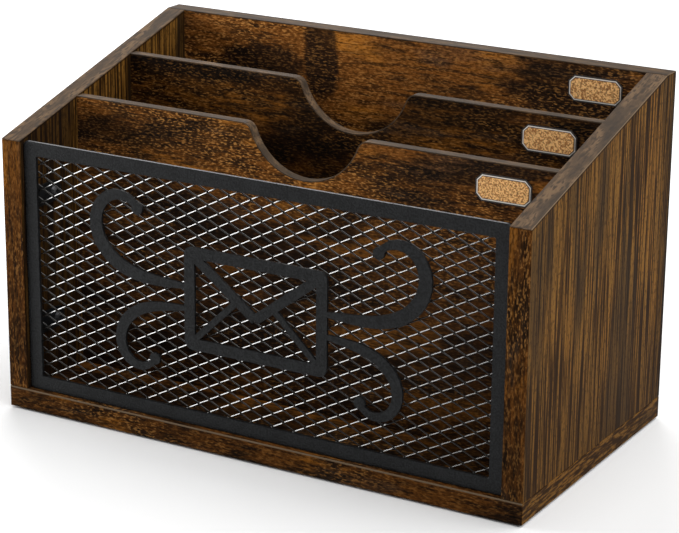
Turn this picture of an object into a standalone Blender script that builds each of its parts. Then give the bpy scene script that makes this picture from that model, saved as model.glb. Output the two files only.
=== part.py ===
"""A countertop mail organizer: foil-faced boards, two cut-out dividers and a steel mesh front.

Metres, +Z up, the front faces -Y. The origin is on the table, under the middle of the base.
The build goes from the boards to their edge bands, the steel front, the labels and the hardware.
"""

import math

import bmesh
import bpy
from mathutils import Matrix, Vector
from mathutils.geometry import delaunay_2d_cdt

MM = 0.001

# ---------------------------------------------------------------- driving dimensions
WIDTH = 320 * MM
DEPTH = 175 * MM
BACK_HEIGHT = 200 * MM  # from the table
FRONT_HEIGHT = 157 * MM
BOARD = 12 * MM
DIVIDER = 6 * MM
BAND = 0.6 * MM  # edge banding
BAND_ROUNDING = 0.25 * MM
PAD = 1 * MM  # felt pad under the base
GLUE = 0.05 * MM  # between glued or welded pieces
JOINT = 0.2 * MM  # between boards that are screwed together
CLEAR = 0.15 * MM  # round a screw or a dowel

DIVIDER_FRONTS = (53.3 * MM, 106 * MM)  # from the front edge to each divider's front face
CUT_RADIUS = 35 * MM  # hand cut-out of a divider
CUT_CENTRE_RISE = 8 * MM  # its centre above the divider's top edge
CUT_FILLET = 6 * MM

FRAME_SETBACK = 3 * MM
FRAME_STEEL = 2 * MM
FRAME_BAR = 8 * MM
FRAME_CORNER = 2.5 * MM
FRAME_OPENING_CORNER = 0.8 * MM
FRAME_ROUNDING = 0.3 * MM
FRAME_SIDE_GAP = 0.6 * MM
FRAME_BASE_GAP = 0.4 * MM
FRAME_BELOW_TOP = 0.2 * MM  # its top edge below the front corners of the sides
MESH_LAP = 3 * MM  # how far the mesh runs in behind the bars
MESH_COLUMNS = 43  # half diamonds across
MESH_ROWS = 37
MESH_STRAND = 1 * MM
MESH_STEEL = 1.2 * MM
ORNAMENT_STEEL = 1.5 * MM

# ---------------------------------------------------------------- derived places
HALF = WIDTH / 2
FRONT = -DEPTH / 2
REAR = DEPTH / 2
BASE_TOP = PAD + BOARD
FLOOR = BASE_TOP + JOINT  # where the upright boards start
INNER = HALF - BOARD  # inner face of a side board
BACK_FACE = REAR - BOARD  # inner face of the back board
SLOPE = (BACK_HEIGHT - FRONT_HEIGHT) / (BACK_FACE - FRONT)
FRAME_FRONT = FRONT + FRAME_SETBACK
FRAME_BACK = FRAME_FRONT + FRAME_STEEL
FRAME_HALF = INNER - FRAME_SIDE_GAP
FRAME_LOW = BASE_TOP + FRAME_BASE_GAP
FRAME_HIGH = FRONT_HEIGHT - FRAME_BELOW_TOP
FRAME_MID = (FRAME_LOW + FRAME_HIGH) / 2

WOOD = ("rustic_foil", (0.10, 0.055, 0.025), 0.5, 0.0)
EDGE = ("edge_band", (0.12, 0.09, 0.07), 0.55, 0.0)
STEEL = ("black_powder_coat", (0.03, 0.033, 0.036), 0.5, 0.0)
SCREW = ("black_oxide_screw", (0.05, 0.05, 0.05), 0.35, 0.9)
CARD = ("label_card", (0.03, 0.025, 0.02), 0.6, 0.0)
CORK = ("cork", (0.55, 0.33, 0.15), 0.85, 0.0)
BEECH = ("beech_dowel", (0.62, 0.44, 0.26), 0.6, 0.0)
FELT = ("felt_pad", (0.05, 0.045, 0.04), 0.95, 0.0)


def height_at(y):
    """Height of the sloping top edge of the sides at a depth."""
    return FRONT_HEIGHT + SLOPE * (y - FRONT)


# ---------------------------------------------------------------- helpers
def material(spec):
    name, colour, roughness, metallic = spec
    made = bpy.data.materials.get(name)
    if made is None:
        made = bpy.data.materials.new(name)
        made.use_nodes = True
        shader = made.node_tree.nodes["Principled BSDF"]
        shader.inputs["Base Color"].default_value = (*colour, 1)
        shader.inputs["Roughness"].default_value = roughness
        shader.inputs["Metallic"].default_value = metallic
        made.diffuse_color = (*colour, 1)
    return made


def add(name, mesh, spec=None, at=None, rotation=(0, 0, 0)):
    """Links an object made from a mesh, in its material and place."""
    made = bpy.data.objects.new(name, mesh)
    bpy.context.scene.collection.objects.link(made)
    if spec and not mesh.materials:
        mesh.materials.append(material(spec))
    made.location = at or (0, 0, 0)
    made.rotation_euler = rotation
    return made


def as_mesh(name, shape):
    mesh = bpy.data.meshes.new(name)
    bmesh.ops.recalc_face_normals(shape, faces=shape.faces)
    shape.to_mesh(mesh)
    shape.free()
    return mesh


def flat_mesh(name, shapes, low, high, lay):
    """The union of some flat shapes, as a plate from low to high.

    A shape is an outline and then its holes, each a list of (u, v).
    lay turns (u, v, height) into (x, y, z).
    """
    loops = [loop for shape in shapes for loop in shape]
    points = [Vector((u / MM, v / MM)) for loop in loops for u, v in loop]
    faces, first = [], 0
    for loop in loops:
        area = sum(a[0] * b[1] - b[0] * a[1] for a, b in zip(loop, loop[1:] + loop[:1]))
        order = list(range(first, first + len(loop)))
        faces.append(order if area > 0 else order[::-1])
        first += len(loop)
    flat, _, triangles, _, _, sources = delaunay_2d_cdt(points, [], faces, 0, 1e-5)
    solid = set()
    first = 0
    for shape in shapes:
        holes = set(range(first + 1, first + len(shape)))
        solid |= {i for i, over in enumerate(sources) if first in over and not holes & set(over)}
        first += len(shape)
    kept = [triangles[i] for i in sorted(solid)]
    plate = bmesh.new()
    used = sorted({i for t in kept for i in t})
    sides = []
    for level in (low, high):
        made = {i: plate.verts.new(lay(flat[i].x * MM, flat[i].y * MM, level)) for i in used}
        sides.append(made)
        for t in kept:
            plate.faces.new([made[i] for i in t])
    rim = {(a, b) for t in kept for a, b in zip(t, [*t[1:], t[0]])}
    for a, b in sorted(rim):
        if (b, a) not in rim:
            plate.faces.new((sides[0][a], sides[0][b], sides[1][b], sides[1][a]))
    return as_mesh(name, plate)


def upright_x(u, v, level):
    """A plate in the X-Z plane, with its thickness along Y."""
    return (u, level, v)


def upright_y(u, v, level):
    """A plate in the Y-Z plane, with its thickness along X."""
    return (level, u, v)


def lying(u, v, level):
    return (u, v, level)


def box_loop(u0, v0, u1, v1):
    return [(u0, v0), (u1, v0), (u1, v1), (u0, v1)]


def arc(centre, radius, start, end, steps):
    """Points along an arc, in degrees, both ends included."""
    turns = (math.radians(start + (end - start) * i / steps) for i in range(steps + 1))
    return [(centre[0] + radius * math.cos(t), centre[1] + radius * math.sin(t)) for t in turns]


def rounded_box(u0, v0, u1, v1, radius, steps=4):
    corners = ((u1 - radius, v1 - radius), (u0 + radius, v1 - radius))
    corners += ((u0 + radius, v0 + radius), (u1 - radius, v0 + radius))
    return [
        p
        for i, corner in enumerate(corners)
        for p in arc(corner, radius, 90 * i, 90 * (i + 1), steps)
    ]


def circle(centre, radius, steps=12):
    return arc(centre, radius, 0, 360, steps)[:-1]


def soften(made, width):
    """Breaks the long edges of a piece, as trimming or sanding does."""
    bevel = made.modifiers.new("softened_edges", "BEVEL")
    bevel.width = width
    bevel.segments = 1
    bevel.limit_method = "ANGLE"
    bevel.angle_limit = math.radians(40)


def turned(profile, steps=12):
    """A closed turned shape round +Z from (radius, height) points, top first."""
    shape = bmesh.new()
    rings = []
    for radius, height in profile:
        places = [(*p, height) for p in circle((0, 0), radius, steps)]
        rings.append([shape.verts.new(place) for place in places])
    for upper, lower in zip(rings, rings[1:]):
        for i in range(steps):
            j = (i + 1) % steps
            shape.faces.new((upper[i], lower[i], lower[j], upper[j]))
    shape.faces.new(rings[0])
    shape.faces.new(rings[-1])
    return shape


def carve(made, cutters):
    """Cuts shapes, given as bmeshes in world space, out of a piece with one Boolean."""
    whole = bmesh.new()
    for cutter in cutters:
        mesh = as_mesh("cutter", cutter)
        whole.from_mesh(mesh)
        bpy.data.meshes.remove(mesh)
    tool = add(made.name + ".drill", as_mesh(made.name + ".drill", whole))
    tool.hide_render = True
    tool.display_type = "WIRE"
    cut = made.modifiers.new("drilled", "BOOLEAN")
    cut.operation = "DIFFERENCE"
    cut.solver = "EXACT"
    cut.object = tool


# ---------------------------------------------------------------- hardware shapes
LONG_SCREW = 32 * MM
SCREW_HEAD = 3 * MM  # radius
SCREW_SHANK = 1.5 * MM  # radius
SCREW_CONE = 2 * MM  # height of the countersunk head
SCREW_POINT = 4 * MM  # length of the tapered point
SCREW_TIP = 0.2 * MM  # radius
SCREW_SUNK = 0.2 * MM  # the heads sit this far under the face
TAB_SCREW = 9 * MM
TAB_SHANK = 1.4 * MM  # radius
TAB_HEAD = 2.1 * MM  # height of the pan head
TAB_SEAT = 0.1 * MM  # the pan head stands this far off the tab
TAB_CROWN = 1.6 * MM  # radius of the flat on top of the pan head
TAB_SHOULDER = (2.7 * MM, 1.6 * MM)  # radius and height
TAB_BRIM = 3.2 * MM  # radius
TAB_POINT = 2.5 * MM  # length of the tapered point
DOWEL_RADIUS = 1.5 * MM
DOWEL_LENGTH = 24 * MM
DOWEL_IN_SIDE = 8 * MM
CROSS_RECESS = (3.4 * MM, 0.8 * MM, 2.4 * MM)  # length, width and twice the depth


def countersunk_profile(grow=0.0, proud=0.0):
    """Head face at z 0 and the point down -Z. A drill grows it and runs proud of the face."""
    head, shank = SCREW_HEAD + grow, SCREW_SHANK + grow
    top = [(head, proud), (head, 0)] if proud else [(head, 0)]
    return [
        *top,
        (shank, -SCREW_CONE),
        (shank, -LONG_SCREW + SCREW_POINT),
        (SCREW_TIP + grow, -LONG_SCREW - grow),
    ]


def pan_profile():
    return [
        (TAB_CROWN, TAB_HEAD),
        TAB_SHOULDER,
        (TAB_BRIM, TAB_SEAT),
        (TAB_SHANK, TAB_SEAT),
        (TAB_SHANK, -TAB_SCREW + TAB_POINT),
        (SCREW_TIP, -TAB_SCREW),
    ]


def screw_mesh(name, profile, recess_top):
    """A turned screw with a cross recess in its head."""
    blank = add(name + ".blank", as_mesh(name, turned(profile)))
    cross = bmesh.new()
    for turn in (0, math.pi / 2):
        size = Matrix.Diagonal((*CROSS_RECESS, 1))
        place = Matrix.Translation((0, 0, recess_top)) @ Matrix.Rotation(turn, 4, "Z") @ size
        bmesh.ops.create_cube(cross, size=1, matrix=place)
    tool = add(name + ".cross", as_mesh(name + ".cross", cross))
    cut = blank.modifiers.new("recess", "BOOLEAN")
    cut.operation = "DIFFERENCE"
    cut.solver = "EXACT"
    cut.use_self = True  # the two arms of the cross pass through each other
    cut.object = tool
    graph = bpy.context.evaluated_depsgraph_get()
    mesh = bpy.data.meshes.new_from_object(blank.evaluated_get(graph))
    mesh.name = name
    for helper in (blank, tool):
        bpy.data.objects.remove(helper)
    mesh.materials.clear()
    return mesh


def aimed(direction):
    """Rotation that turns a screw's head, +Z, to face a direction."""
    return Vector(direction).to_track_quat("Z", "Y").to_euler()


def drill_at(at, direction, profile):
    shape = turned(profile)
    shape.transform(Matrix.Translation(at) @ aimed(direction).to_matrix().to_4x4())
    return shape


DOWN, BACKWARD = (0, 0, -1), (0, 1, 0)
SIDE_SCREWS = (("front", FRONT + 22 * MM), ("rear", BACK_FACE - 24 * MM))  # depths
BACK_SCREWS = (("low", 62 * MM), ("high", 150 * MM))  # heights
CROSS_SCREWS = (("left", -95 * MM), ("right", 95 * MM))  # under the back and the dividers


def divider_middle(i):
    return FRONT + DIVIDER_FRONTS[i] + DIVIDER / 2


def screw_places():
    """(name, head centre, head direction, board it grips) of each long screw."""
    under, behind = PAD + SCREW_SUNK, REAR - SCREW_SUNK
    places = []
    for side, x in (("left", -HALF + BOARD / 2), ("right", HALF - BOARD / 2)):
        board = f"{side}_side_board"
        for end, y in SIDE_SCREWS:
            places.append((f"base_screw_{side}_{end}", (x, y, under), DOWN, board))
        for end, z in BACK_SCREWS:
            places.append((f"back_screw_{side}_{end}", (x, behind, z), BACKWARD, board))
    for side, x in CROSS_SCREWS:
        y = REAR - BOARD / 2
        places.append((f"base_screw_back_{side}", (x, y, under), DOWN, "back_board"))
        for i, row in enumerate(("front", "rear")):
            at = (x, divider_middle(i), under)
            places.append((f"base_screw_{row}_divider_{side}", at, DOWN, f"{row}_divider"))
    return places


DOWEL_HEIGHTS = (100 * MM, 112 * MM)
TAB_HEIGHTS = (("lower", FRAME_MID - 37 * MM), ("upper", FRAME_MID + 37 * MM))
TAB_HOLE = 25.5 * MM  # behind the frame's front face
TAB_LENGTH = 32 * MM
TAB_HALF_HEIGHT = 6 * MM
TAB_STEEL = 1.2 * MM
TAB_FOOT_PAST_MESH = 2 * MM  # the foot ends this far beyond the mesh's edge
TAB_FOOT_TRIM = 0.4 * MM  # the foot is this much narrower at each edge
TAB_LEG_SETBACK = 0.3 * MM  # the leg starts behind the foot's face


def drills_of(board):
    """The holes that a board needs, as solids to cut away."""
    grown = countersunk_profile(CLEAR, 2 * MM)
    drills = []
    for _, at, direction, into in screw_places():
        through = "base_board" if direction == DOWN else "back_board"
        if board in (into, through):
            drills.append(drill_at(at, direction, grown))
    for i, row in enumerate(("front", "rear")):
        for side, sign in (("left", -1), ("right", 1)):
            if board in (f"{side}_side_board", f"{row}_divider"):
                wide = DOWEL_RADIUS + CLEAR
                hole = [(wide, 0), (wide, -DOWEL_LENGTH - 2 * CLEAR)]
                start = sign * (INNER + DOWEL_IN_SIDE + CLEAR)
                at = (start, divider_middle(i), DOWEL_HEIGHTS[i])
                drills.append(drill_at(at, (sign, 0, 0), hole))
    for side, sign in (("left", -1), ("right", 1)):
        if board == f"{side}_side_board":
            hole = [(TAB_SHANK + CLEAR, 1 * MM), (TAB_SHANK + CLEAR, -TAB_SCREW)]
            for _, z in TAB_HEIGHTS:
                at = (sign * INNER, FRAME_FRONT + TAB_HOLE, z)
                drills.append(drill_at(at, (-sign, 0, 0), hole))
    return drills


# ---------------------------------------------------------------- boards and bands
def make_base():
    inset = BAND + GLUE
    core = box_loop(-HALF + inset, FRONT + inset, HALF - inset, REAR - inset)
    base = add("base_board", flat_mesh("base_board", [[core]], PAD, BASE_TOP, lying), WOOD)
    carve(base, drills_of("base_board"))
    end = FRONT + BAND + GLUE
    bands = {
        "base_front_band": box_loop(-HALF, FRONT, HALF, FRONT + BAND),
        "base_rear_band": box_loop(-HALF, REAR - BAND, HALF, REAR),
        "base_left_band": box_loop(-HALF, end, -HALF + BAND, -end),
        "base_right_band": box_loop(HALF - BAND, end, HALF, -end),
    }
    for name, loop in bands.items():
        band = add(name, flat_mesh(name, [[loop]], PAD, BASE_TOP, lying), WOOD)
        soften(band, BAND_ROUNDING)


def make_sides():
    """Each side: a core whose top edge slopes, with a front band and a top band on it."""
    rear = BACK_FACE - JOINT
    drop = BAND * math.hypot(1, SLOPE)  # height of the top band, measured straight down
    under = drop + GLUE
    core_front = FRONT + BAND + GLUE
    core = [
        (core_front, FLOOR),
        (rear, FLOOR),
        (rear, height_at(rear) - under),
        (core_front, height_at(core_front) - under),
    ]
    top = [
        (FRONT, height_at(FRONT) - drop),
        (rear, height_at(rear) - drop),
        (rear, height_at(rear)),
        (FRONT, height_at(FRONT)),
    ]
    front = [
        (FRONT, FLOOR),
        (FRONT + BAND, FLOOR),
        (FRONT + BAND, height_at(FRONT + BAND) - under),
        (FRONT, height_at(FRONT) - under),
    ]
    for side, low, high in (("left", -HALF, -INNER), ("right", INNER, HALF)):
        name = f"{side}_side_board"
        board = add(name, flat_mesh(name, [[core]], low, high, upright_y), WOOD)
        carve(board, drills_of(name))
        for part, loop, spec in (("top", top, EDGE), ("front", front, WOOD)):
            name = f"{side}_side_{part}_band"
            band = add(name, flat_mesh(name, [[loop]], low, high, upright_y), spec)
            soften(band, BAND_ROUNDING)


def make_back():
    top = BACK_HEIGHT - BAND - GLUE
    end = HALF - BAND - GLUE
    core = box_loop(-end, FLOOR, end, top)
    name = "back_board"
    board = add(name, flat_mesh(name, [[core]], BACK_FACE, REAR, upright_x), WOOD)
    carve(board, drills_of(name))
    bands = {
        "back_top_band": (box_loop(-HALF, BACK_HEIGHT - BAND, HALF, BACK_HEIGHT), EDGE),
        "back_left_band": (box_loop(-HALF, FLOOR, -HALF + BAND, top), EDGE),
        "back_right_band": (box_loop(HALF - BAND, FLOOR, HALF, top), EDGE),
    }
    for name, (loop, spec) in bands.items():
        band = add(name, flat_mesh(name, [[loop]], BACK_FACE, REAR, upright_x), spec)
        soften(band, BAND_ROUNDING)


def divider_rim(top, inward):
    """The divider's top edge from left to right, round the hand cut-out, moved inward."""
    end = INNER - JOINT
    centre = (0, top + CUT_CENTRE_RISE)
    reach = CUT_RADIUS + CUT_FILLET
    fillet_x = math.sqrt(reach**2 - (CUT_CENTRE_RISE + CUT_FILLET) ** 2)
    lean = math.degrees(math.asin((CUT_CENTRE_RISE + CUT_FILLET) / reach))
    fillet = CUT_FILLET - inward
    left = arc((-fillet_x, top - CUT_FILLET), fillet, 90, lean, 4)
    bowl = arc(centre, CUT_RADIUS + inward, 180 + lean, 360 - lean, 18)[1:-1]
    right = arc((fillet_x, top - CUT_FILLET), fillet, 180 - lean, 90, 4)
    return [(-end, top - inward), *left, *bowl, *right, (end, top - inward)]


def make_dividers():
    for i, row in enumerate(("front", "rear")):
        face = FRONT + DIVIDER_FRONTS[i]
        top = height_at(face)
        outer, under = divider_rim(top, 0), divider_rim(top, BAND)
        core_rim = divider_rim(top, BAND + GLUE)
        end = INNER - JOINT
        core = [(-end, FLOOR), (end, FLOOR), *core_rim[::-1]]
        name = f"{row}_divider"
        board = flat_mesh(name, [[core]], face, face + DIVIDER, upright_x)
        carve(add(name, board, WOOD), drills_of(name))
        name = f"{row}_divider_top_band"
        band = flat_mesh(name, [[outer + under[::-1]]], face, face + DIVIDER, upright_x)
        add(name, band, EDGE)


# ---------------------------------------------------------------- steel front
def make_frame():
    outer = rounded_box(-FRAME_HALF, FRAME_LOW, FRAME_HALF, FRAME_HIGH, FRAME_CORNER)
    end = FRAME_HALF - FRAME_BAR
    low, high = FRAME_LOW + FRAME_BAR, FRAME_HIGH - FRAME_BAR
    opening = rounded_box(-end, low, end, high, FRAME_OPENING_CORNER, 2)
    mesh = flat_mesh("front_frame", [[outer, opening]], FRAME_FRONT, FRAME_BACK, upright_x)
    soften(add("front_frame", mesh, STEEL), FRAME_ROUNDING)


def make_mesh_panel():
    """Expanded mesh: strands with a three-sided section that cross at small diamond bonds."""
    half_wide = FRAME_HALF - FRAME_BAR + MESH_LAP
    half_high = (FRAME_HIGH - FRAME_LOW) / 2 - FRAME_BAR + MESH_LAP
    step_x, step_z = 2 * half_wide / MESH_COLUMNS, 2 * half_high / MESH_ROWS
    slant = math.hypot(step_x, step_z)
    bond_x, bond_z = MESH_STRAND / 2 * slant / step_z, MESH_STRAND / 2 * slant / step_x
    face = FRAME_BACK + GLUE
    shape = bmesh.new()
    bonds = {}
    for i in range(MESH_COLUMNS + 1):
        for j in range(MESH_ROWS + 1):
            if (i + j) % 2:
                continue
            x, z = -half_wide + i * step_x, FRAME_MID - half_high + j * step_z
            corners = ((x + bond_x, z), (x, z + bond_z), (x - bond_x, z), (x, z - bond_z))
            rim = [shape.verts.new((cx, face, cz)) for cx, cz in corners]
            bonds[i, j] = (*rim, shape.verts.new((x, face + MESH_STEEL, z)))
            shape.faces.new(rim)
    # A strand leaves a bond between two of its corners: right-up, up-left, left-down, down-right.
    ways = ((1, 1, 0, 1), (-1, 1, 1, 2), (-1, -1, 2, 3), (1, -1, 3, 0))
    for (i, j), near in bonds.items():
        for di, dj, a, b in ways:
            far = bonds.get((i + di, j + dj))
            if far is None:
                shape.faces.new((near[a], near[b], near[4]))
            elif di > 0:
                c, d = (a + 2) % 4, (b + 2) % 4
                shape.faces.new((near[a], near[b], far[c], far[d]))
                shape.faces.new((near[b], near[4], far[4], far[c]))
                shape.faces.new((near[4], near[a], far[d], far[4]))
    add("mesh_panel", as_mesh("mesh_panel", shape), STEEL)


ENVELOPE_HALF = (44 * MM, 29 * MM)
ENVELOPE_BAR = 6.5 * MM
ENVELOPE_CORNER = 5 * MM  # radius outside
HOLLOW_CORNER = 1.5 * MM  # radius inside
FLAP_POINT = (0, -5 * MM)  # where the two flap edges meet
FLAP_BAR = 0.85 * ENVELOPE_BAR
FOLD_POINT = (12 * MM, 2 * MM)  # inner end of a lower fold
FOLD_BAR = 0.55 * ENVELOPE_BAR
SCROLL_RISE = 6 * MM  # the scrolls start this far above and below the middle
SCROLL_LAP = 2 * MM  # and this far inside the envelope's edge
SCROLL_THIN = 2.4 * MM
SCROLL_BUD = 3.4 * MM
# Each scroll: its length, its thickest width, its heading at the envelope in degrees, and its
# curvature in 1/m at the envelope and at the bud.
UPPER_SCROLL = (112 * MM, 8 * MM, 2, (-8, 82))
LOWER_SCROLL = (88 * MM, 6.5 * MM, -8, (10, -104))


def ribbon(path, widths):
    """Outline of a strip of changing width along a path."""
    left, right = [], []
    for k, (p, width) in enumerate(zip(path, widths)):
        before, after = path[max(k - 1, 0)], path[min(k + 1, len(path) - 1)]
        along = Vector((after[0] - before[0], after[1] - before[1])).normalized()
        across = Vector((-along.y, along.x)) * width / 2
        left.append((p[0] + across.x, p[1] + across.y))
        right.append((p[0] - across.x, p[1] - across.y))
    return left + right[::-1]


def scroll(start, spec, steps=26):
    """A strip whose curvature grows evenly along it, with a round bud at its end."""
    length, thick, heading, (near_bend, far_bend) = spec
    x, z = start
    path, widths = [(x, z)], [SCROLL_THIN]
    for k in range(steps):
        along = (k + 0.5) / steps
        turn = near_bend * length * along + (far_bend - near_bend) * length * along**2 / 2
        angle = math.radians(heading) + turn
        x += math.cos(angle) * length / steps
        z += math.sin(angle) * length / steps
        path.append((x, z))
        swell = math.sin(math.pi * (k + 1) / (steps + 1)) ** 0.8
        widths.append(SCROLL_THIN + (thick - SCROLL_THIN) * swell)
    return [ribbon(path, widths), circle(path[-1], SCROLL_BUD, 14)]


def mirrored(loops):
    return [[(-u, v) for u, v in loop] for loop in loops]


def ornament_shapes():
    """A plain envelope between two pairs of scrolls, in the X-Z plane about its middle."""
    w, h = ENVELOPE_HALF
    bar = ENVELOPE_BAR
    rim = rounded_box(-w, -h, w, h, ENVELOPE_CORNER)
    hollow = rounded_box(-w + bar, -h + bar, w - bar, h - bar, HOLLOW_CORNER, 2)
    inset = bar / 2
    flap = [(w - inset, h - inset), FLAP_POINT]
    fold = [(w - inset, -h + inset), FOLD_POINT]
    half = [ribbon(flap, [FLAP_BAR] * 2), ribbon(fold, [FOLD_BAR] * 2)]
    for rise, spec in ((SCROLL_RISE, UPPER_SCROLL), (-SCROLL_RISE, LOWER_SCROLL)):
        half += scroll((w - SCROLL_LAP, rise), spec)
    return [[rim, hollow], *([loop] for loop in half + mirrored(half))]


def make_ornament():
    shapes = [
        [[(u, v + FRAME_MID) for u, v in loop] for loop in shape] for shape in ornament_shapes()
    ]
    back = FRAME_BACK - GLUE
    mesh = flat_mesh("front_ornament", shapes, back - ORNAMENT_STEEL, back, upright_x)
    add("front_ornament", mesh, STEEL)


def make_tabs(pan_screw):
    """Tabs welded behind the frame's side bars, each screwed to a side board."""
    for side, sign in (("left", -1), ("right", 1)):
        wall = sign * (INNER - CLEAR)
        near = sign * (INNER - CLEAR - TAB_STEEL)
        for level, z in TAB_HEIGHTS:
            name = f"frame_tab_{side}_{level}"
            start, end = FRAME_BACK + GLUE, FRAME_FRONT + TAB_LENGTH
            bend = start + TAB_LEG_SETBACK
            leg = [(bend, z + TAB_HALF_HEIGHT), (bend, z - TAB_HALF_HEIGHT)]
            leg += arc((end - TAB_HALF_HEIGHT, z), TAB_HALF_HEIGHT, -90, 90, 8)
            hole = circle((FRAME_FRONT + TAB_HOLE, z), TAB_SHANK + CLEAR)
            levels = sorted((wall, near))
            tab = add(name, flat_mesh(name, [[leg, hole]], *levels, upright_y), STEEL)
            foot_end = sign * (FRAME_HALF - FRAME_BAR + MESH_LAP + TAB_FOOT_PAST_MESH)
            foot = bmesh.new()
            rise = TAB_HALF_HEIGHT - TAB_FOOT_TRIM
            low = Vector((foot_end, start, z - rise))
            high = Vector((near + sign * TAB_STEEL / 2, start + TAB_STEEL, z + rise))
            bmesh.ops.create_cube(foot, size=1)
            size = [abs(high[k] - low[k]) for k in range(3)]
            middle = (low + high) / 2
            foot.transform(Matrix.Translation(middle) @ Matrix.Diagonal((*size, 1)))
            helper = add(name + ".foot", as_mesh(name + ".foot", foot))
            helper.hide_render = True
            helper.display_type = "WIRE"
            join = tab.modifiers.new("bent_foot", "BOOLEAN")
            join.operation = "UNION"
            join.solver = "EXACT"
            join.object = helper
            at = (near, FRAME_FRONT + TAB_HOLE, z)
            add(f"tab_screw_{side}_{level}", pan_screw, SCREW, at, aimed((-sign, 0, 0)))


# ---------------------------------------------------------------- labels
LABEL_SIZE = (32 * MM, 14.8 * MM)
LABEL_CORNER = 3.5 * MM
LABEL_MIDDLE = 118.5 * MM  # from the middle of the organizer
LABEL_DROP = 6.5 * MM  # below the top edge of its board
LABEL_CARD = 0.4 * MM
LABEL_CORK = 0.4 * MM
LABEL_BORDER = 1.7 * MM


def octagon(middle, size, corner):
    u, v = size[0] / 2, size[1] / 2
    quarter = [(u, v - corner), (u - corner, v)]
    loop = quarter + [(-a, b) for a, b in quarter[::-1]]
    loop += [(-a, -b) for a, b in loop]
    return [(middle[0] + a, middle[1] + b) for a, b in loop]


def make_labels():
    for row, face in (
        ("front", FRONT + DIVIDER_FRONTS[0]),
        ("middle", FRONT + DIVIDER_FRONTS[1]),
        ("rear", BACK_FACE),
    ):
        middle = (LABEL_MIDDLE, height_at(face) - LABEL_DROP - LABEL_SIZE[1] / 2)
        back = face - GLUE
        card = octagon(middle, LABEL_SIZE, LABEL_CORNER)
        name = f"label_card_{row}"
        add(name, flat_mesh(name, [[card]], back - LABEL_CARD, back, upright_x), CARD)
        size = [s - 2 * LABEL_BORDER for s in LABEL_SIZE]
        corner = LABEL_CORNER - LABEL_BORDER * (2 - math.sqrt(2))
        cork = octagon(middle, size, corner)
        back -= LABEL_CARD + GLUE
        name = f"label_cork_{row}"
        add(name, flat_mesh(name, [[cork]], back - LABEL_CORK, back, upright_x), CORK)


# ---------------------------------------------------------------- fasteners and pads
def make_fasteners():
    long_screw = screw_mesh("countersunk_screw", countersunk_profile(), 0)
    for name, at, direction, _ in screw_places():
        add(name, long_screw, SCREW, at, aimed(direction))
    dowel = as_mesh("dowel", turned([(DOWEL_RADIUS, 0), (DOWEL_RADIUS, -DOWEL_LENGTH)]))
    for i, row in enumerate(("front", "rear")):
        for side, sign in (("left", -1), ("right", 1)):
            at = (sign * (INNER + DOWEL_IN_SIDE), divider_middle(i), DOWEL_HEIGHTS[i])
            add(f"dowel_{row}_divider_{side}", dowel, BEECH, at, aimed((sign, 0, 0)))


PAD_RADIUS = 7 * MM
PAD_INSET = 24 * MM


def make_pads():
    pad = as_mesh("felt_pad", turned([(PAD_RADIUS, PAD - GLUE), (PAD_RADIUS, 0)], 16))
    for side, x in (("left", -HALF + PAD_INSET), ("right", HALF - PAD_INSET)):
        for end, y in (("front", FRONT + PAD_INSET), ("rear", REAR - PAD_INSET)):
            add(f"felt_pad_{side}_{end}", pad, FELT, (x, y, 0))


def main():
    for old in list(bpy.data.objects):
        bpy.data.objects.remove(old)
    make_base()
    make_sides()
    make_back()
    make_dividers()
    make_frame()
    make_mesh_panel()
    make_ornament()
    make_tabs(screw_mesh("pan_screw", pan_profile(), TAB_HEAD))
    make_labels()
    make_fasteners()
    make_pads()


main()
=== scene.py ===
# %% [markdown]
# A countertop mail organizer: dark rustic boards, two cut-out dividers and a steel front with an
# expanded-metal panel. The solids come ready made and to size, as a frame of named nodes in metres,
# with +Z up and the front towards -Y. This lesson gives every piece its finish and swaps the plain
# lattice for real expanded metal. Nothing is moved or resized.

# %% Load the frame
import math

import bpy
from mathutils import Euler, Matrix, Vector


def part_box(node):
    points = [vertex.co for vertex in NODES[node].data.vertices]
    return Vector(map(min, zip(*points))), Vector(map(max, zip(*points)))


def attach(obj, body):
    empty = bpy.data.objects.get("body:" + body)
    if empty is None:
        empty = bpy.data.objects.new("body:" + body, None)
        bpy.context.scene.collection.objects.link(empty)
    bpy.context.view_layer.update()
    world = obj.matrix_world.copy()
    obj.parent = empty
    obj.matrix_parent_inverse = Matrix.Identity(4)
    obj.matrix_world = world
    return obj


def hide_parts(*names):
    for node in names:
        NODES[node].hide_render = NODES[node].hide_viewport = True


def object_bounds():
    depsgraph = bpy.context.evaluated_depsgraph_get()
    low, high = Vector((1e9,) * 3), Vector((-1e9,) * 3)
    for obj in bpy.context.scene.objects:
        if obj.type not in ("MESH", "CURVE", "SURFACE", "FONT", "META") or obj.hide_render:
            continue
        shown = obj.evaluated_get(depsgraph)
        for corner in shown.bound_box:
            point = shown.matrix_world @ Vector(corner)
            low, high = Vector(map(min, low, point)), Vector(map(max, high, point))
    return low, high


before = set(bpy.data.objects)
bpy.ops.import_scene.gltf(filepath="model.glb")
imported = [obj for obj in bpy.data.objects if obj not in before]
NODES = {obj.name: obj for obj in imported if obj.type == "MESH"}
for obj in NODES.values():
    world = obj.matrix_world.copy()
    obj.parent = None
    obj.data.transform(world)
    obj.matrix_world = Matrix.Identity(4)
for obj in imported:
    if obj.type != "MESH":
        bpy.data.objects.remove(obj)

CAD_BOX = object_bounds()
MM = 0.001
LOW, HIGH = (Vector(corner) for corner in CAD_BOX)
WIDTH, DEPTH, HEIGHT = HIGH - LOW
HALF = WIDTH / 2
BAND_RISE = 0.62 * MM  # thickness of the banding, measured straight down on the slopes
print(f"{len(NODES)} nodes, {WIDTH:.3f} x {DEPTH:.3f} x {HEIGHT:.3f} m")

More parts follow.
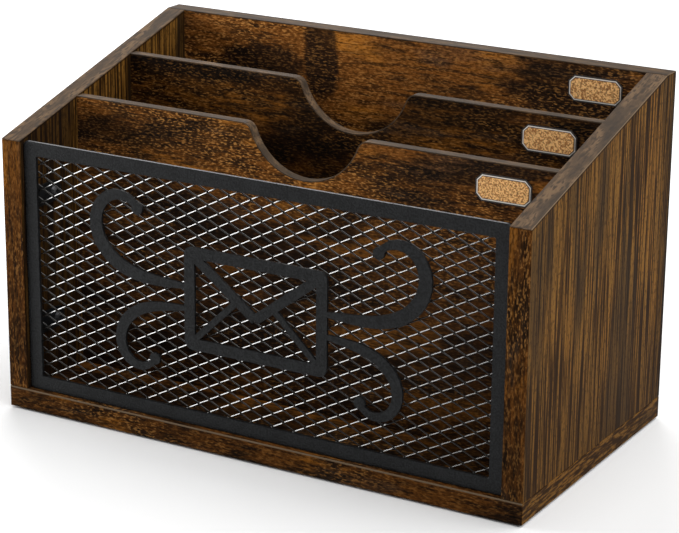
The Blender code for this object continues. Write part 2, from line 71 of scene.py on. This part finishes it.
# %% [markdown]
# Shader maths soon turns into a thicket when every node is made by hand. A small class that wraps a
# socket lets Python's own operators add the Math nodes, so a mask reads as 1 - grain * 0.4. The
# reflected forms (__radd__ and so on) are what make a number on the left work too. Colours don't go
# through Math nodes, which would turn them grey: they have their own method, on the Mix node.


# %% A socket that does arithmetic
class Wire:
    """The output of a node, inside one finish."""

    def __init__(self, finish, socket):
        self.finish, self.socket = finish, socket

    def math(self, operation, a, b):
        return self.finish.node("ShaderNodeMath", {"operation": operation}, {0: a, 1: b})

    def __add__(self, other):
        return self.math("ADD", self, other)

    def __sub__(self, other):
        return self.math("SUBTRACT", self, other)

    def __rsub__(self, other):
        return self.math("SUBTRACT", other, self)

    def __mul__(self, other):
        return self.math("MULTIPLY", self, other)

    def __abs__(self):
        return self.math("ABSOLUTE", self, 0)

    def larger(self, other):
        return self.math("MAXIMUM", self, other)

    __radd__ = __add__
    __rmul__ = __mul__


# %% [markdown]
# A finish is one material with its Principled shader. Its node method makes any node from its type,
# its settings, which come first because some of them change the sockets, and what goes into the
# sockets, by name or by place. A step mask is a Map Range, because it clamps and has a soft edge.
# Every texture reads object coordinates. The frame's pieces all sit at the origin, so these are
# metres in one shared space, and a grain of 3 mm is 3 mm on every board.


# %% A finish
NOWHERE = (0, 0, 0)
MIX_FACTOR, MIX_A, MIX_B, MIX_RESULT = 0, 6, 7, 2  # the Mix node's sockets when it mixes colours


class Finish:
    """A material that is built up from nodes."""

    def __init__(self, name, roughness=0.5, metallic=0.0, mirror=0.5):
        self.material = bpy.data.materials.new(name)
        self.material.use_nodes = True
        self.tree = self.material.node_tree
        self.shader = self.tree.nodes["Principled BSDF"]
        self.shader.inputs["Roughness"].default_value = roughness
        self.shader.inputs["Metallic"].default_value = metallic
        self.shader.inputs["Specular IOR Level"].default_value = mirror
        self.place = self.node("ShaderNodeTexCoord", output="Object")

    def node(self, kind, settings=None, inputs=None, output=0):
        made = self.tree.nodes.new(kind)
        for key, value in (settings or {}).items():
            setattr(made, key, value)
        for key, value in (inputs or {}).items():
            self.feed(made.inputs[key], value)
        return Wire(self, made.outputs[output])

    def feed(self, socket, value):
        if isinstance(value, Wire):
            self.tree.links.new(value.socket, socket)
        elif socket.type == "RGBA" and len(value) == 3:
            socket.default_value = (*value, 1)
        else:
            socket.default_value = value

    def drive(self, **sockets):
        """Links wires to the shader's sockets: Base_Color=..., Roughness=..., Normal=..."""
        for name, value in sockets.items():
            self.feed(self.shader.inputs[name.replace("_", " ")], value)
        return self

    def mix(self, factor, a, b, blend="MIX"):
        settings = {"data_type": "RGBA", "blend_type": blend}
        inputs = {MIX_FACTOR: factor, MIX_A: a, MIX_B: b}
        return self.node("ShaderNodeMix", settings, inputs, MIX_RESULT)

    def step(self, value, start, end):
        """0 below start and 1 above end, and the other way round if end is the lower one."""
        inputs = {"Value": value, "From Min": start, "From Max": end}
        return self.node("ShaderNodeMapRange", {"interpolation_type": "SMOOTHSTEP"}, inputs)

    def dimmed(self, tone, gain):
        return self.mix(1.0, tone, (gain, gain, gain), "MULTIPLY")

    def stretched(self, per_metre, offset=NOWHERE):
        """The place, with its own number of cells in a metre along each axis."""
        inputs = {0: self.place, 1: per_metre, 2: offset}
        return self.node("ShaderNodeVectorMath", {"operation": "MULTIPLY_ADD"}, inputs)

    def noise(self, per_metre, detail=3.0, rough=0.55, offset=NOWHERE, distortion=0.0):
        inputs = {
            "Vector": self.stretched(per_metre, offset),
            "Scale": 1.0,
            "Detail": detail,
            "Roughness": rough,
            "Distortion": distortion,
        }
        return self.node("ShaderNodeTexNoise", inputs=inputs)

    def axis(self, letter):
        return self.node("ShaderNodeSeparateXYZ", inputs={0: self.place}, output=letter)

    def bump(self, height, strength, distance):
        inputs = {"Height": height, "Strength": strength, "Distance": distance}
        return self.node("ShaderNodeBump", inputs=inputs)


# %% Colours, and how a finish gets onto its pieces
def linear(red, green, blue):
    """A colour as on a paint card, 0 to 255, turned into linear light by the sRGB curve."""
    shares = [level / 255 for level in (red, green, blue)]
    return tuple(s / 12.92 if s < 0.0405 else ((s + 0.055) / 1.055) ** 2.4 for s in shares)


def dress(finish, names):
    """Puts a finish on frame nodes, in place of what they came with."""
    for name in names:
        NODES[name].data.materials.clear()
        NODES[name].data.materials.append(finish.material)
    print(f"{finish.material.name}: {', '.join(names)}")


# %% [markdown]
# The boards are particle board under a printed foil. Its grain runs along the length of each board,
# so noise has to be squeezed across the grain and drawn out along it. A vector of three rates, slow
# along the grain and fast across it, does that for any direction. Every board is cut from another
# place of the endless noise, so that no two of them match.


# %% Grain
FOIL_MIRROR = 0.015  # the foil is so matt that even glancing light hardly whitens it
GRAIN_ALONG = {"X": 0, "Y": 1, "Z": 2}


def cells(along, across, grain):
    """Cells in a metre as a vector whose slow axis is the grain."""
    rates = [across] * 3
    rates[GRAIN_ALONG[grain]] = along
    return tuple(rates)


def cut(seed, strides):
    """Where a cut of the print starts in the noise."""
    return tuple(seed * stride for stride in strides)


def moved(shift, by):
    """A start for one more layer of the same cut."""
    return tuple(s + by for s in shift)


print("cells in a metre, grain along X:", cells(10, 32, "X"))

# %% [markdown]
# The print is old barn wood in golden browns and near-black, drawn over with fine fibres. A wave
# texture gives stripes that are too regular, so each layer is noise: broad soft patches choose
# between dark and warm wood, blotches burn parts almost black, a grey veil lies over others. Pale and
# dark fibres come last, livelier in some places than in others. They are about 1 mm across and have
# few octaves, because octaves that are finer than the eye resolves only average out to a flat tone.
# The back board has two dark blotches in places of their own. Deep in the front slot little light
# arrives, so shade is painted into the front divider's foil low down. The base's front edge has a
# pale line along its top: the raw side of its banding, with a painted highlight of the edge on it.

# %% Colours of the rustic foil
BLACK_BROWN = linear(17, 13, 11)
DARK_BROWN = linear(46, 29, 15)
WARM_BROWN = linear(94, 56, 22)
GOLD_BROWN = linear(138, 86, 30)
GREY_VEIL = linear(52, 44, 37)
PALE_FIBRE = linear(170, 119, 62)
PIT = linear(8, 5, 2)
BAND_RAW = linear(116, 98, 78)
# the base's pale top line is the raw banding with a painted highlight of the edge on it
RAW_EDGE_AND_HIGHLIGHT = 0.85 * MM  # width of the pale line along the base's front edge
RAW_EDGE_AND_HIGHLIGHT_SOFT = 0.1 * MM
print("deepest brown", [round(c, 4) for c in BLACK_BROWN])


# %% A blotch
def blot_mask(foil, x, z, half_wide, half_high):
    """A dark blotch with torn edges, round a point of an upright board."""
    tear = foil.noise((90, 90, 90), 4, 0.7) - 0.5
    across = (foil.axis("X") - x) * (1 / half_wide)
    up = (foil.axis("Z") - z) * (1 / half_high)
    return foil.step(across * across + up * up + tear * 1.6, 1.1, 0.5)


# %% Rustic foil
def rustic(name, grain, seed, warmth=0.5, black=0.53, gain=1.0, blots=(), edge=None, painted_shade_top=None):
    """Printed barn wood. warmth and black are how much noise each needs before it shows.

    edge is the height of a top edge with a pale line, partly a painted highlight. The last argument
    is the height where painted shade starts, darker below it.
    """
    foil = Finish(name, mirror=FOIL_MIRROR)
    shift = cut(seed, (7.3, 3.1, 5.7))
    patch = foil.noise(cells(10, 32, grain), 3, 0.6, shift, 0.4)
    streak = foil.noise(cells(70, 420, grain), 2, 0.6, shift)
    warm = foil.step(patch * 0.62 + streak * 0.38, warmth - 0.08, warmth + 0.08)
    tone = foil.mix(warm, DARK_BROWN, WARM_BROWN)
    gold = foil.noise(cells(12, 34, grain), 2, 0.55, moved(shift, 9), 0.4)
    tone = foil.mix(foil.step(gold * 0.8 + streak * 0.2, 0.5, 0.62) * warm * 0.9, tone, GOLD_BROWN)
    veil = foil.noise(cells(12, 60, grain), 2, 0.6, moved(shift, 14), 0.3)
    tone = foil.mix(foil.step(veil, 0.54, 0.68) * 0.55, tone, GREY_VEIL)
    burn = foil.noise(cells(9, 30, grain), 3, 0.6, moved(shift, 20), 0.4)
    burnt = foil.step(burn * 0.75 + streak * 0.25, black - 0.03, black + 0.06)
    for blot in blots:
        burnt = burnt.larger(blot_mask(foil, *blot))
    tone = foil.mix(burnt * 0.88, tone, BLACK_BROWN)
    dash = foil.noise(cells(48, 520, grain), 2, 0.6, moved(shift, 30), 0.2)
    tone = foil.mix(foil.step(dash, 0.5, 0.64) * 0.65, tone, BLACK_BROWN)
    fibre = foil.noise(cells(420, 1200, grain), 1, 0.5, moved(shift, 40), 0.3)
    lively = foil.step(foil.noise(cells(11, 26, grain), 2, 0.5, moved(shift, 50)), 0.42, 0.6)
    shown = foil.step(fibre, 0.53, 0.68) * (0.22 + lively * 0.38) * (1 - burnt * 0.55)
    tone = foil.mix(shown, tone, PALE_FIBRE)
    tone = foil.mix(foil.step(fibre, 0.47, 0.34) * 0.5, tone, PIT)
    # painted shade: below the given height, deep in the front slot, the foil darkens towards near
    # black
    if painted_shade_top:
        tone = foil.mix(foil.step(foil.axis("Z"), painted_shade_top, painted_shade_top * 0.6) * 0.6, tone, BLACK_BROWN)
    # pale top line: raw banding and a painted highlight of the edge
    if edge:
        line = edge - RAW_EDGE_AND_HIGHLIGHT
        raw_edge_and_highlight = foil.step(foil.axis("Z"), line - RAW_EDGE_AND_HIGHLIGHT_SOFT, line + RAW_EDGE_AND_HIGHLIGHT_SOFT)
        tone = foil.mix(raw_edge_and_highlight, tone, BAND_RAW)
    pores = foil.bump(fibre, strength=0.2, distance=0.1 * MM)
    return foil.drive(
        Base_Color=foil.dimmed(tone, gain), Roughness=0.62 - fibre * 0.2, Normal=pores
    )


# %% Rustic foil on the back board, the dividers, the base and the front edges
knot = (-54 * MM, HIGH.z - 18 * MM, 13 * MM, 30 * MM)
smear = (-94 * MM, HIGH.z - 26 * MM, 34 * MM, 15 * MM)
# painted light: gain 1.7 makes the back board's print lighter to make up for the shade it stands in,
# so from behind it looks lighter than the other boards
back_foil = rustic("foil_back", "X", 1, warmth=0.45, black=0.54, gain=1.7, blots=(knot, smear))
dress(back_foil, ["back_board"])

SLOT_SHADE_START = 12 * MM  # below the top of the divider
slot_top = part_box("front_divider")[1].z - SLOT_SHADE_START
# the front divider's foil gets painted shade from slot_top down
front_foil = rustic("foil_front_divider", "X", 2, 0.47, 0.51, gain=1.35, painted_shade_top=slot_top)
dress(front_foil, ["front_divider"])
rear_foil = rustic("foil_rear_divider", "X", 3.4, warmth=0.53, black=0.49, gain=0.8)
dress(rear_foil, ["rear_divider"])

dress(rustic("foil_base", "X", 4, gain=0.7), ["base_board", "base_rear_band"])
base_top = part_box("base_front_band")[1].z
base_front_foil = rustic("foil_base_front", "X", 4, warmth=0.49, gain=0.6, edge=base_top)
dress(base_front_foil, ["base_front_band"])
upright_foil = rustic("foil_side_fronts", "Z", 6, warmth=0.47, black=0.54, gain=0.68)
dress(upright_foil, ["left_side_front_band", "right_side_front_band"])

# %% [markdown]
# The side boards wear another cut of the same print: upright stripes in yellow-brown, with long
# smoky streaks and ochre patches. The layers are the same kind of noise, but the cells are far
# longer, and the stripes come at three widths: 9, 1.5 and 1 mm. A thin dark line follows the sloping
# top edge, where the banding is glued on. It comes from the height below the slope, which is a
# plane, so two coordinates and a little arithmetic give the distance. Shade is painted into the foot
# of the boards, which darkens towards the floor, and into the left board's inner face in front of
# the front divider, where the slot is shut in by the steel. The ends of the back and of the base
# wear the same foil, with a dark line along their rear edges. On the base the grain lies down and is
# chopped short.


# %% Colours and slope of the striped foil
SMOKE = linear(36, 29, 20)
STRIPE_DARK = linear(36, 22, 9)
STRIPE_MIDDLE = linear(64, 41, 15)
STRIPE_LIGHT = linear(109, 76, 32)
OCHRE = linear(118, 79, 30)
GLUE_LINE = (0.5 * MM, 1.1 * MM)  # dark to here, and gone from here
# painted shade: below this height the boards darken towards the floor
PAINTED_SHADE_BELOW = 110 * MM
slope_low, slope_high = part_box("right_side_top_band")
SLOPE = (slope_high.z - BAND_RISE - slope_low.z) / (slope_high.y - slope_low.y)
print(f"the sides slope {math.degrees(math.atan(SLOPE)):.1f} degrees")


def below_banding(finish):
    """Distance straight down from the banding on the sloping tops, in metres."""
    board_top = (finish.axis("Y") - slope_low.y) * SLOPE + slope_low.z
    return board_top - finish.axis("Z")


# %% Painted shade in the front slot
SLOT_SHADE_FADE = 10 * MM
INNER_HALF = (3 * MM, 5 * MM)  # the mask rises between these depths into the left board


def slot_shade(foil, slot_back):
    """Where shade is painted: the left board's inner side in front of the front divider."""
    start, end = (depth - HALF for depth in INNER_HALF)
    inner = foil.step(foil.axis("X"), start, end)
    return inner * foil.step(foil.axis("Y"), slot_back, slot_back - SLOT_SHADE_FADE)


# %% Striped foil
def striped(name, seed, gain=1.0, slot_back=None, grain="Z", chop=1.0):
    """Printed stripes along the grain. A larger chop gives shorter streaks."""
    foil = Finish(name, mirror=FOIL_MIRROR)
    shift = cut(seed, (3.7, 9.1, 2.3))
    wide = foil.noise(cells(5 * chop, 110, grain), 2, 0.5, shift)
    fine = foil.noise(cells(13 * chop, 680, grain), 1, 0.5, shift)
    thin = foil.noise(cells(28 * chop, 980, grain), 1, 0.5, moved(shift, 5))
    stripe = wide * 0.06 + fine * 0.54 + thin * 0.4
    tone = foil.mix(foil.step(stripe, 0.42, 0.5), STRIPE_DARK, STRIPE_MIDDLE)
    tone = foil.mix(foil.step(stripe, 0.48, 0.57), tone, STRIPE_LIGHT)
    glow = foil.noise(cells(9, 30, grain), 2, 0.55, moved(shift, 11), 0.5)
    tone = foil.mix(foil.step(glow, 0.5, 0.66) * foil.step(stripe, 0.42, 0.6) * 0.6, tone, OCHRE)
    smoke = foil.noise(cells(7, 44, grain), 2, 0.55, moved(shift, 31), 0.3)
    tone = foil.mix(foil.step(smoke, 0.54, 0.68) * 0.6, tone, SMOKE)
    crackle = foil.noise(cells(330, 620, grain), 1, 0.5, moved(shift, 50))
    tone = foil.mix(foil.step(crackle, 0.47, 0.36) * 0.5, tone, STRIPE_DARK)
    glue = foil.step(below_banding(foil), GLUE_LINE[1], GLUE_LINE[0])
    tone = foil.mix(glue * 0.7, tone, STRIPE_DARK)
    # painted shade: darker towards the floor
    tone = foil.mix(foil.step(foil.axis("Z"), PAINTED_SHADE_BELOW, 0) * 0.45, tone, STRIPE_DARK)
    rear_line = foil.step(foil.axis("Y"), HIGH.y - 2.8 * MM, HIGH.y - 2.2 * MM)
    tone = foil.mix(rear_line * 0.75, tone, BLACK_BROWN)
    if slot_back:
        # painted shade in the front slot, on the left board's inner face
        tone = foil.mix(slot_shade(foil, slot_back) * 0.7, tone, BLACK_BROWN)
    pores = foil.bump(stripe + crackle * 0.5, strength=0.3, distance=0.15 * MM)
    return foil.drive(
        Base_Color=foil.dimmed(tone, gain), Roughness=0.6 - stripe * 0.2, Normal=pores
    )


# %% Striped foil on the side boards and on the ends of the back and the base
dress(striped("foil_right_side", 1), ["right_side_board"])
left_foil = striped("foil_left_side", 2, slot_back=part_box("front_divider")[0].y)
dress(left_foil, ["left_side_board"])
dress(striped("foil_back_ends", 3, gain=0.7), ["back_left_band", "back_right_band"])
base_end_foil = striped("foil_base_ends", 4, gain=1.25, grain="Y", chop=6)
dress(base_end_foil, ["base_left_band", "base_right_band"])

# %% [markdown]
# Plain banding closes the cut edges: grey-brown, with streaks of tan and slate along its length. Its
# streaks follow Y on the sloping tops and X on the others, so it is one function with the grain as
# an argument. The cut edge of the banding is paler than its face and shows as a thin line along the
# outside: everything within 0.3 mm of the outer faces. Along its rear edge the back's band has a
# dark line of glue.


# %% Edge banding
BAND_BROWN = linear(74, 60, 47)
BAND_TAN = linear(100, 80, 60)
BAND_SLATE = linear(48, 43, 38)
CUT_EDGE = (0.25 * MM, 0.35 * MM)  # pale to here, and gone from here
GLUE_EDGE = (1.2 * MM, 2.6 * MM)


def banding(name, grain, seed, gain):
    band = Finish(name, mirror=FOIL_MIRROR)
    shift = cut(seed, (1, 2, 3))
    streak = band.noise(cells(110, 640, grain), 1, 0.5, shift)
    tan = band.noise(cells(30, 190, grain), 2, 0.6, moved(shift, 3))
    tone = band.mix(band.step(tan * 0.5 + streak * 0.5, 0.46, 0.6), BAND_BROWN, BAND_TAN)
    slate = band.noise(cells(24, 110, grain), 2, 0.6, moved(shift, 8))
    tone = band.mix(band.step(slate * 0.6 + streak * 0.4, 0.48, 0.62) * 0.7, tone, BAND_SLATE)
    tone = band.mix(band.step(streak, 0.48, 0.34) * 0.6, tone, BAND_SLATE)
    rim = band.step(abs(band.axis("X")), HALF - CUT_EDGE[1], HALF - CUT_EDGE[0])
    tone = band.mix(rim * 0.8, tone, BAND_RAW)
    glue = band.step(band.axis("Y"), HIGH.y - GLUE_EDGE[1], HIGH.y - GLUE_EDGE[0])
    tone = band.mix(glue * 0.75, tone, DARK_BROWN)
    pores = band.bump(streak, strength=0.2, distance=0.1 * MM)
    return band.drive(
        Base_Color=band.dimmed(tone, gain), Roughness=0.42 + streak * 0.18, Normal=pores
    )


dress(banding("band_slopes", "Y", 1, 0.95), ["left_side_top_band", "right_side_top_band"])
dress(banding("band_back_top", "X", 2, 0.8), ["back_top_band"])
dress(banding("band_dividers", "X", 4, 0.88), ["front_divider_top_band", "rear_divider_top_band"])

# %% [markdown]
# The steel front is powder coated: matt black with a fine leathery skin. Real coat flows into small
# soft bumps, which a smooth noise at about a millimetre gives in the normal. The same noise paints
# shade into the hollows and a highlight onto the peaks, and a broader one changes the roughness
# from place to place.

# %% Powder coat
COAT_BLACK = linear(20, 21, 22)
# the hollow colour is painted shade and the peak colour a painted highlight
COAT_HOLLOW, COAT_PEAK = ([c * share for c in COAT_BLACK] for share in (0.35, 1.5))

coat = Finish("powder_coat", mirror=0.14)
skin = coat.noise((900, 900, 900), 1, 0.5)
cloud = coat.noise((160, 160, 160), 3, 0.6)
# painted shade in the skin's hollows and painted highlight on its peaks, from the bump's own noise
relief_shade_and_highlight = coat.step(skin * 0.7 + cloud * 0.3, 0.35, 0.65)
coat.drive(
    Base_Color=coat.mix(relief_shade_and_highlight, COAT_HOLLOW, COAT_PEAK),
    Roughness=0.28 + cloud * 0.16,
    Normal=coat.bump(skin, strength=0.8, distance=0.3 * MM),
)
tabs = [name for name in NODES if name.startswith("frame_tab")]
dress(coat, ["front_frame", "front_ornament", *tabs])

# %% [markdown]
# Expanded metal starts as a sheet that is slit and pulled open. Each row between two slits becomes a
# zigzag strand, and neighbouring strands stay joined at knuckles twice a strand wide. The pull also
# tips the strands, so their flat faces lean up and the panel waves in depth. A flat lattice with
# holes would miss the light that those leaning faces catch. So each strand is swept here along its
# own zigzag: an eight-sided section (a strip with eased edges), tipped, with peaks forward and
# valleys back so that the edges of two strands meet at every knuckle.

# %% Measures of the expanded metal
mesh_low, mesh_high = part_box("mesh_panel")
DIAMONDS_WIDE = 21.5
DIAMONDS_HIGH = 18.5
ROWS = round(DIAMONDS_HIGH * 2)
LONG_WAY = (mesh_high.x - mesh_low.x) / DIAMONDS_WIDE
SHORT_WAY = (mesh_high.z - mesh_low.z) / DIAMONDS_HIGH
STRAND_WIDTH = 0.82 * MM
STRAND_STEEL = 0.45 * MM
STRAND_EASE = 0.16 * MM
STRAND_TIP = math.radians(26)
KNUCKLE = 1.1 * MM  # length of a joint along the strands
print(f"diamonds {LONG_WAY / MM:.1f} x {SHORT_WAY / MM:.1f} mm")


# %% Strands of expanded metal
def strand_section():
    """Corners of the strip's section as (up, back) from its middle, already tipped."""
    half, thick = STRAND_WIDTH / 2, STRAND_STEEL / 2
    corners = [(half, thick - STRAND_EASE), (half - STRAND_EASE, thick)]
    corners += [(-u, v) for u, v in corners[::-1]]
    corners += [(-u, -v) for u, v in corners]
    turn_cos, turn_sin = math.cos(STRAND_TIP), math.sin(STRAND_TIP)
    return [(u * turn_cos - v * turn_sin, u * turn_sin + v * turn_cos) for u, v in corners]


def zigzag(row):
    """Middle line of one strand as (x, z, wave), with wave 1 at a peak and -1 in a valley."""
    middle = mesh_low.z + (row + 0.5) * SHORT_WAY / 2
    rise = SHORT_WAY / 4 - STRAND_WIDTH * math.cos(STRAND_TIP) / 2
    line = []
    for half_turn in range(int(DIAMONDS_WIDE * 2) + 1):
        wave = 1 if (half_turn + row) % 2 else -1
        x = mesh_low.x + half_turn * LONG_WAY / 2
        for along in (-KNUCKLE / 2, KNUCKLE / 2):
            place = min(max(x + along, mesh_low.x), mesh_high.x)
            line.append((place, middle + wave * rise, wave))
    return line


def expanded_metal():
    """All the strands as one mesh, whose front just touches the front of the plain lattice."""
    section = strand_section()
    depth = STRAND_WIDTH * math.sin(STRAND_TIP) / 2
    reach = depth - min(v for _, v in section)
    face = mesh_low.y + reach
    verts, faces = [], []
    sides = len(section)
    for row in range(ROWS):
        line = zigzag(row)
        first = len(verts)
        for x, z, wave in line:
            verts += [(x, face - wave * depth + back, z + up) for up, back in section]
        for k in range(len(line) - 1):
            ring = first + k * sides
            for i in range(sides):
                j = (i + 1) % sides
                faces.append((ring + i, ring + j, ring + sides + j, ring + sides + i))
        last = first + (len(line) - 1) * sides
        faces.append([first + i for i in reversed(range(sides))])
        faces.append([last + i for i in range(sides)])
    mesh = bpy.data.meshes.new("expanded_metal")
    mesh.from_pydata(verts, [], faces)
    mesh.validate()
    return mesh


panel = bpy.data.objects.new("expanded_metal", expanded_metal())
bpy.context.scene.collection.objects.link(panel)
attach(panel, "root")
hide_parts("mesh_panel")
print(f"{ROWS} strands, {len(panel.data.polygons)} faces")

# %% [markdown]
# The panel has the same coat, but on thin strands it flows smooth and glossy. Such a black coat has
# next to no colour of its own: what shows is the studio, mirrored in the leaning faces.

# %% Coat on the panel
gloss = Finish("panel_coat", mirror=0.5)
grime = gloss.noise((420, 420, 420), 3, 0.6)
gloss.drive(
    Base_Color=gloss.mix(grime, linear(10, 9, 8), linear(30, 26, 22)),
    Roughness=0.13 + grime * 0.13,
)
panel.data.materials.append(gloss.material)

# %% [markdown]
# Each label is a dark card with a pale printed keyline, and a cork face raised on it. The keyline
# runs at an even distance inside the card's eight edges, so it needs no picture: the distance to an
# octagon is the largest of three distances, to the upright, the level and the slanting edges.

# %% Label cards
LABELS = ("front", "middle", "rear")
LABEL_CHAMFER = 3.5 * MM
KEYLINE = (0.75 * MM, 1.3 * MM)  # from here to here inside the card's edge
KEYLINE_SOFT = 0.06 * MM


def card_finish(name, node):
    """The finish of one card, with its keyline measured from the card's own box."""
    low, high = (Vector(corner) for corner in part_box(node))
    middle, half = (low + high) / 2, (high - low) / 2
    card = Finish(name, roughness=0.6)
    u = abs(card.axis("X") - middle.x)
    v = abs(card.axis("Z") - middle.z)
    slant = (u + v - (half.x + half.z - LABEL_CHAMFER)) * math.sqrt(0.5)
    inside = (u - half.x).larger(v - half.z).larger(slant) * -1
    start, end = KEYLINE
    line = card.step(inside, start - KEYLINE_SOFT, start + KEYLINE_SOFT)
    line = line * card.step(inside, end + KEYLINE_SOFT, end - KEYLINE_SOFT)
    ink = card.noise((900, 900, 900), 3, 0.6)
    dark = card.mix(ink, linear(26, 20, 16), linear(48, 40, 36))
    pale = linear(238, 232, 224)
    return card.drive(Base_Color=card.mix(line * (0.75 + ink * 0.25), dark, pale))


for label in LABELS:
    dress(card_finish(f"card_{label}", f"label_card_{label}"), [f"label_card_{label}"])

# %% [markdown]
# Cork is pressed granules, some pale and some dark, with dark pits between them. Voronoi cells give
# the granules their rounded relief. Their own colours would be an even patchwork, so noise of about
# the same size gives the shades, and another noise scatters the pits.

# %% Cork
cork = Finish("cork", roughness=0.85)
grit = cork.stretched((1500, 1500, 1500))
granule = cork.node("ShaderNodeTexVoronoi", {"feature": "F1"}, {"Vector": grit}, "Distance")
shade = cork.noise((1000, 1000, 1000), 1, 0.5)
warm_cork = cork.mix(cork.step(shade, 0.36, 0.62), linear(168, 110, 54), linear(246, 194, 124))
pit = cork.step(cork.noise((800, 800, 800), 1, 0.5, (4, 4, 4)), 0.57, 0.67)
cork.drive(
    Base_Color=cork.mix(pit * 0.7, warm_cork, linear(104, 62, 30)),
    Normal=cork.bump(granule * -1 - pit, strength=0.5, distance=0.2 * MM),
)
dress(cork, [f"label_cork_{label}" for label in LABELS])

# %% [markdown]
# The hardware: blackened screws with an oily half shine, plain beech dowels and felt pads. Most of it
# is hidden, but the model is looked at from below and behind as well.

# %% Screws, dowels and felt
oxide = Finish("black_oxide", metallic=0.9)
rub = oxide.noise((600, 600, 600), 3, 0.6)
oxide.drive(
    Base_Color=oxide.mix(rub, linear(52, 52, 54), linear(110, 110, 112)),
    Roughness=0.3 + rub * 0.25,
)
dress(oxide, [name for name in NODES if "_screw_" in name])

beech = Finish("beech", roughness=0.6)
fibre = beech.noise(cells(120, 1500, "X"), 3, 0.6)
beech.drive(Base_Color=beech.mix(fibre, linear(186, 148, 104), linear(222, 188, 144)))
dress(beech, [name for name in NODES if name.startswith("dowel")])

felt = Finish("felt", roughness=0.95)
fuzz = felt.noise((1800, 1800, 1800), 4, 0.75)
felt.drive(
    Base_Color=felt.mix(fuzz, linear(34, 32, 30), linear(84, 80, 76)),
    Normal=felt.bump(fuzz, strength=0.8, distance=0.3 * MM),
)
dress(felt, [name for name in NODES if name.startswith("felt_pad")])

# %% [markdown]
# Cut and coated edges are never knife sharp, and a thin bright line along an edge tells the eye so.
# A Bevel modifier rounds them without touching the frame's own mesh.

# %% Eased edges
EASED_WIDTH = 0.5 * MM
EASED_FROM = math.radians(50)  # edges that turn by less than this stay as they are
for name in ("front_frame", "front_ornament"):
    bevel = NODES[name].modifiers.new("eased", "BEVEL")
    bevel.width = EASED_WIDTH
    bevel.segments = 2
    bevel.limit_method = "ANGLE"
    bevel.angle_limit = EASED_FROM
    print("eased:", name)

# %% [markdown]
# A plain pale floor runs past the view. The organizer stands on its felt pads, so the floor lies
# just under the bottom of the frame: faces that share a plane would flicker.

# %% Floor
FLOOR_REACH = 6
FLOOR_GAP = 0.2 * MM
corners = [(x * FLOOR_REACH, y * FLOOR_REACH, 0) for x, y in ((-1, -1), (1, -1), (1, 1), (-1, 1))]
floor_mesh = bpy.data.meshes.new("floor")
floor_mesh.from_pydata(corners, [], [(0, 1, 2, 3)])
floor = bpy.data.objects.new("floor", floor_mesh)
bpy.context.scene.collection.objects.link(floor)
floor.location.z = LOW.z - FLOOR_GAP
pale_floor = Finish("pale_floor", roughness=0.7)
pale_floor.drive(Base_Color=(0.65, 0.65, 0.65))
floor_mesh.materials.append(pale_floor.material)
print(f"floor at {floor.location.z / MM:.1f} mm")

# %% [markdown]
# Soft light comes from large panels. The one on the left stands where the rising strands of the mesh
# mirror it to the camera. Nothing stands where the falling ones look, straight out in front, so they
# stay dark. The panel behind on the left is what the top edges of the steel mirror, and a weak one
# on the right lifts the right side.


# %% Light panels
def hang(name, lamp, place, direction):
    """Puts a lamp at a place, turned so that it shines along a direction."""
    holder = bpy.data.objects.new(name, lamp)
    bpy.context.scene.collection.objects.link(holder)
    holder.location = place
    holder.rotation_euler = direction.to_track_quat("-Z", "Y").to_euler()
    print(f"{name}: {lamp.energy} {'W' if lamp.type == 'AREA' else 'W per square metre'}")


def panel_light(name, place, size, power):
    lamp = bpy.data.lights.new(name, "AREA")
    lamp.shape = "RECTANGLE"
    lamp.size, lamp.size_y = size
    lamp.energy = power
    hang(name, lamp, place, (LOW + HIGH) / 2 - Vector(place))


panel_light("left", place=(-1.31, -0.53, 0.46), size=(0.52, 0.38), power=17)
panel_light("back_left", place=(-0.95, 1.3, 1.1), size=(1.1, 1.1), power=18)
panel_light("right", place=(1.7, -0.5, 0.6), size=(0.9, 0.9), power=3)

# %% [markdown]
# Most of the light falls from above, as from a studio ceiling. A sun that is 80 degrees wide gives
# the same soft shadows as a ceiling would, wherever the object stands. A little white from the
# surroundings fills the rest.

# %% Ceiling and surroundings
CEILING_POWER = 4.2
CEILING_WIDTH = math.radians(80)
CEILING_DIRECTION = Vector((-0.45, -0.1, -0.9))
SURROUNDINGS = 0.25
ceiling = bpy.data.lights.new("ceiling", "SUN")
ceiling.energy = CEILING_POWER
ceiling.angle = CEILING_WIDTH
hang("ceiling", ceiling, (0, 0, 0), CEILING_DIRECTION)

world = bpy.data.worlds.new("studio")
world.use_nodes = True
sky = world.node_tree.nodes["Background"]
sky.inputs["Color"].default_value = (1, 1, 1, 1)
sky.inputs["Strength"].default_value = SURROUNDINGS
bpy.context.scene.world = world
bpy.context.scene.view_settings.view_transform = "Standard"

# %% [markdown]
# The camera stands well back with a long lens, a little above and to the right of the front, so the
# upright edges stay nearly parallel.

# %% Camera
HEADING, TILT, ROLL = 30.03, 71.84, -0.52  # degrees
DISTANCE = 1.331
AIM = Vector((0.0042, -0.0022, 0.0877))
FOCAL_LENGTH = 128.1
lens = bpy.data.cameras.new("camera")
lens.lens = FOCAL_LENGTH
camera = bpy.data.objects.new("camera", lens)
bpy.context.scene.collection.objects.link(camera)
camera.rotation_euler = Euler([math.radians(a) for a in (TILT, ROLL, HEADING)])
camera.location = AIM + camera.rotation_euler.to_matrix() @ Vector((0, 0, DISTANCE))
bpy.context.scene.camera = camera
print("camera at", [round(c, 3) for c in camera.location])

# %% [markdown]

# %% Finish
print("scene built")
